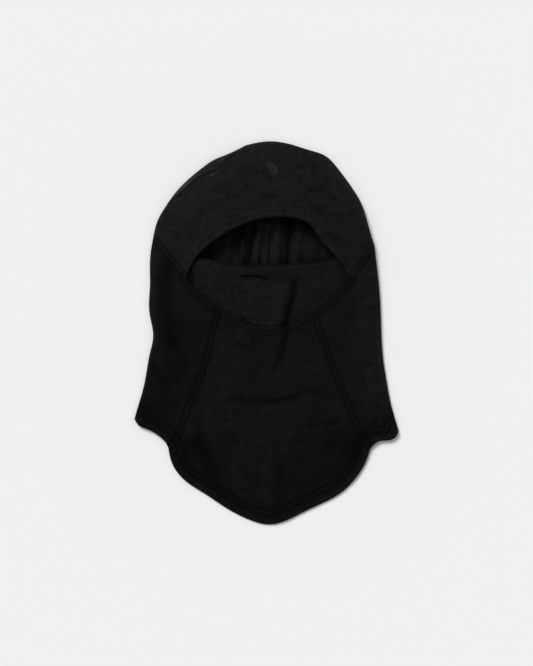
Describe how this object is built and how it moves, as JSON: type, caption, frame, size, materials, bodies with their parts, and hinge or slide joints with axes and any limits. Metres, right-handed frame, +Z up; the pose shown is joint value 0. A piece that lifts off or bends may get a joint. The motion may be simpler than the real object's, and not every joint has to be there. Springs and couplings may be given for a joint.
{
  "type": "balaclava",
  "caption": "Thin knitted balaclava laid out flat, with an open face, a mouth cover with a perforated patch that pulls down under the chin, and a long bib",
  "frame": {"origin": "middle of the laid-out garment's footprint, on the table it lies on", "axes": "+Y towards the crown, +X to the right as seen from above (the wearer's left), +Z up from the table, out of the face opening"},
  "size_m": [0.2797, 0.4062, 0.0304],
  "materials": {
    "jersey_brow": "matt fine-gauge merino jersey",
    "jersey_bib": "matt fine-gauge merino jersey",
    "jersey_side_left": "matt fine-gauge merino jersey",
    "jersey_side_right": "matt fine-gauge merino jersey",
    "jersey_back": "matt fine-gauge merino jersey",
    "jersey_gusset": "matt fine-gauge merino jersey",
    "jersey_cover": "matt fine-gauge merino jersey",
    "vent_mesh": "thin perforated knit",
    "thread": "spun polyester sewing thread",
    "badge_satin": "satin-stitched embroidery thread"
  },
  "bodies": {
    "hood": {"brow_panel": "jersey_brow", "bib_panel": "jersey_bib", "side_panel_left": "jersey_side_left", "side_panel_right": "jersey_side_right", "hood_back_left": "jersey_back", "hood_back_right": "jersey_back", "crown_gusset": "jersey_gusset", "brow_hem": "jersey_brow", "bib_hem": "jersey_bib", "side_hem_left": "jersey_side_left", "side_hem_right": "jersey_side_right", "back_hem": "jersey_back", "brow_hem_stitching": "thread", "neck_hem_stitching": "thread", "back_hem_stitching": "thread", "crown_seam_stitching": "thread", "brow_seam_stitching_left": "thread", "brow_seam_stitching_right": "thread", "chin_seam_stitching": "thread", "bib_seam_stitching_left": "thread", "bib_seam_stitching_right": "thread", "gusset_seam_stitching_left": "thread", "gusset_seam_stitching_right": "thread", "yoke_seam_stitching_left": "thread", "yoke_seam_stitching_right": "thread", "forehead_badge": "badge_satin"},
    "mouth_cover": {"mouth_cover_panel": "jersey_cover", "mouth_cover_hem": "jersey_cover", "mouth_cover_hem_stitching": "thread", "vent_patch": "vent_mesh", "vent_patch_stitching": "thread"}
  },
  "joints": [
    {"name": "mouth_cover_pull_down", "type": "slide", "parent": "hood", "child": "mouth_cover", "axis": [0, -1, 0], "range_m": [0, 0.045]}
  ]
}
